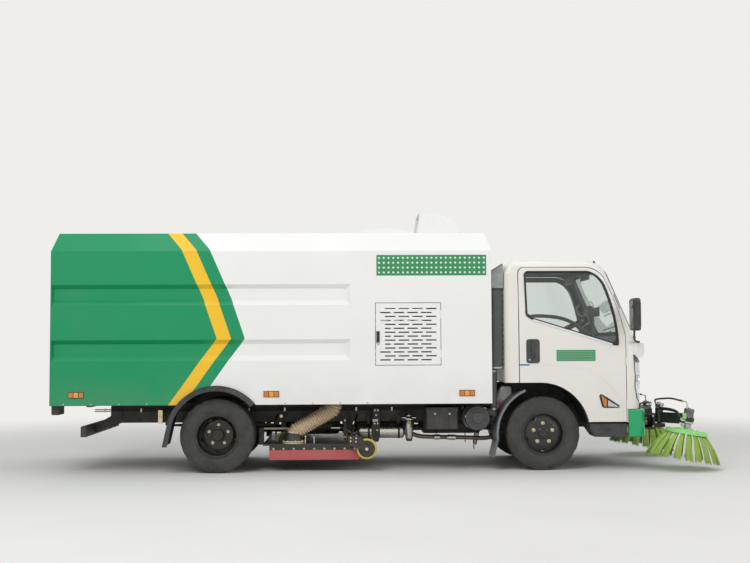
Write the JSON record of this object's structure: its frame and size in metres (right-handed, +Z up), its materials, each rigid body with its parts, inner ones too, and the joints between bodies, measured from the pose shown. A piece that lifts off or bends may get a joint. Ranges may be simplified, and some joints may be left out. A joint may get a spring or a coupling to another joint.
{
  "type": "street sweeper truck",
  "caption": "Cab-over street sweeper truck with a closed grooved body, opening doors, two splayed front brushes and a wheeled suction nozzle.",
  "frame": {"origin": "on the ground, midway along and across the vehicle's outline", "axes": "+X forwards, +Y to the vehicle's left, +Z up"},
  "size_m": [6.9079, 2.444, 2.752],
  "materials": {
    "body_paint": "gloss paint, green with a yellow stripe and a white front",
    "cab_paint": "gloss paint, creamy white",
    "bumper_paint": "gloss paint, green",
    "frame_black": "satin black chassis paint",
    "arm_paint": "satin black paint",
    "engine_iron": "as cast, painted",
    "tyre": "worn rubber",
    "wheel_black": "satin black paint",
    "window_glass": "clear glass",
    "lamp_lens": "clear moulded plastic",
    "signal_lens": "coloured moulded plastic",
    "black_plastic": "grained moulded plastic",
    "seat_cloth": "woven cloth",
    "tank_paint": "satin black paint",
    "hose_tan": "ribbed flexible duct",
    "bristle_plastic": "lime green plastic plate and bristles",
    "nozzle_wheel_rubber": "solid tyre"
  },
  "bodies": {
    "chassis": {"body_shell": "body_paint", "roof_fan_housing": "body_paint", "roof_hood": "body_paint", "cab_roof": "cab_paint", "cab_rear_wall": "cab_paint", "cab_front": "cab_paint", "cab_floor": "cab_paint", "front_bumper": "bumper_paint", "chassis_frame": "frame_black", "front_axle": "frame_black", "rear_axle": "frame_black", "drive_shaft": "frame_black", "rear_underrun": "frame_black", "brush_gear_frame": "frame_black", "suction_nozzle": "frame_black", "battery_box": "frame_black", "engine_blocks": "engine_iron", "cab_glass": "window_glass", "headlamps": "lamp_lens", "signal_lamps": "signal_lens", "step_panels": "black_plastic", "front_mudguards": "black_plastic", "rear_fenders": "black_plastic", "dashboard": "black_plastic", "mirrors": "black_plastic", "air_intake": "black_plastic", "seats": "seat_cloth", "fluid_tanks": "tank_paint", "suction_hoses": "hose_tan"},
    "knuckle_left": {"knuckle_left": "frame_black"},
    "knuckle_right": {"knuckle_right": "frame_black"},
    "front_wheel_left": {"front_tyre_left": "tyre", "front_rim_left": "wheel_black"},
    "front_wheel_right": {"front_tyre_right": "tyre", "front_rim_right": "wheel_black"},
    "rear_wheels_left": {"rear_tyres_left": "tyre", "rear_rim_left": "wheel_black"},
    "rear_wheels_right": {"rear_tyres_right": "tyre", "rear_rim_right": "wheel_black"},
    "cab_door_left": {"cab_door_left": "cab_paint", "door_glass_left": "window_glass"},
    "cab_door_right": {"cab_door_right": "cab_paint", "door_glass_right": "window_glass"},
    "rear_door": {"rear_door": "body_paint"},
    "side_hatch_left": {"side_hatch_left": "body_paint"},
    "side_hatch_right": {"side_hatch_right": "body_paint"},
    "brush_arm_left": {"brush_arm_left": "arm_paint"},
    "brush_arm_right": {"brush_arm_right": "arm_paint"},
    "brush_left": {"brush_left": "bristle_plastic"},
    "brush_right": {"brush_right": "bristle_plastic"},
    "nozzle_wheel_front_left": {"nozzle_wheel_front_left": "nozzle_wheel_rubber"},
    "nozzle_wheel_front_right": {"nozzle_wheel_front_right": "nozzle_wheel_rubber"},
    "nozzle_wheel_rear_left": {"nozzle_wheel_rear_left": "nozzle_wheel_rubber"},
    "nozzle_wheel_rear_right": {"nozzle_wheel_rear_right": "nozzle_wheel_rubber"}
  },
  "joints": [
    {"name": "steer_left", "type": "hinge", "parent": "chassis", "child": "knuckle_left", "pos_m": [1.6, 0.64, 0.38], "axis": [0, 0, 1], "range_deg": [-33, 33]},
    {"name": "front_wheel_left_spin", "type": "hinge", "parent": "knuckle_left", "child": "front_wheel_left", "pos_m": [1.6, 0.765, 0.38], "axis": [0, 1, 0], "continuous": true},
    {"name": "rear_wheels_left_spin", "type": "hinge", "parent": "chassis", "child": "rear_wheels_left", "pos_m": [-1.76, 0.714, 0.38], "axis": [0, 1, 0], "continuous": true},
    {"name": "cab_door_left_hinge", "type": "hinge", "parent": "chassis", "child": "cab_door_left", "pos_m": [2.452, 0.943, 1.2], "axis": [0, 0, -1], "range_deg": [0, 70]},
    {"name": "side_hatch_left_hinge", "type": "hinge", "parent": "chassis", "child": "side_hatch_left", "pos_m": [0.533, 1.003, 1.4], "axis": [0, 0, -1], "range_deg": [0, 110]},
    {"name": "brush_arm_left_swing", "type": "hinge", "parent": "chassis", "child": "brush_arm_left", "pos_m": [2.9, 0.52, 0.5], "axis": [0, 0, 1], "range_deg": [-20, 20]},
    {"name": "brush_left_spin", "type": "hinge", "parent": "brush_arm_left", "child": "brush_left", "pos_m": [3.093, 0.83, 0.366], "axis": [0.1564, 0, 0.9877], "continuous": true},
    {"name": "nozzle_wheel_front_left_spin", "type": "hinge", "parent": "chassis", "child": "nozzle_wheel_front_left", "pos_m": [-0.229, 0.86, 0.236], "axis": [0, 1, 0], "continuous": true},
    {"name": "nozzle_wheel_rear_left_spin", "type": "hinge", "parent": "chassis", "child": "nozzle_wheel_rear_left", "pos_m": [-1.075, 0.47, 0.29], "axis": [0, 1, 0], "continuous": true},
    {"name": "steer_right", "type": "hinge", "parent": "chassis", "child": "knuckle_right", "pos_m": [1.6, -0.64, 0.38], "axis": [0, 0, 1], "range_deg": [-33, 33]},
    {"name": "front_wheel_right_spin", "type": "hinge", "parent": "knuckle_right", "child": "front_wheel_right", "pos_m": [1.6, -0.765, 0.38], "axis": [0, 1, 0], "continuous": true},
    {"name": "rear_wheels_right_spin", "type": "hinge", "parent": "chassis", "child": "rear_wheels_right", "pos_m": [-1.76, -0.714, 0.38], "axis": [0, 1, 0], "continuous": true},
    {"name": "cab_door_right_hinge", "type": "hinge", "parent": "chassis", "child": "cab_door_right", "pos_m": [2.452, -0.943, 1.2], "axis": [0, 0, 1], "range_deg": [0, 70]},
    {"name": "side_hatch_right_hinge", "type": "hinge", "parent": "chassis", "child": "side_hatch_right", "pos_m": [0.533, -1.003, 1.4], "axis": [0, 0, 1], "range_deg": [0, 110]},
    {"name": "brush_arm_right_swing", "type": "hinge", "parent": "chassis", "child": "brush_arm_right", "pos_m": [2.9, -0.52, 0.5], "axis": [0, 0, 1], "range_deg": [-20, 20]},
    {"name": "brush_right_spin", "type": "hinge", "parent": "brush_arm_right", "child": "brush_right", "pos_m": [3.093, -0.83, 0.366], "axis": [0.1564, 0, 0.9877], "continuous": true},
    {"name": "nozzle_wheel_front_right_spin", "type": "hinge", "parent": "chassis", "child": "nozzle_wheel_front_right", "pos_m": [-0.229, -0.86, 0.236], "axis": [0, 1, 0], "continuous": true},
    {"name": "nozzle_wheel_rear_right_spin", "type": "hinge", "parent": "chassis", "child": "nozzle_wheel_rear_right", "pos_m": [-1.075, -0.47, 0.29], "axis": [0, 1, 0], "continuous": true},
    {"name": "rear_door_hinge", "type": "hinge", "parent": "chassis", "child": "rear_door", "pos_m": [-3.458, 0, 2.262], "axis": [0, 1, 0], "range_deg": [0, 85]}
  ],
  "couplings": [
    {"joint": "steer_right", "follows": "steer_left", "ratio": 1}
  ]
}
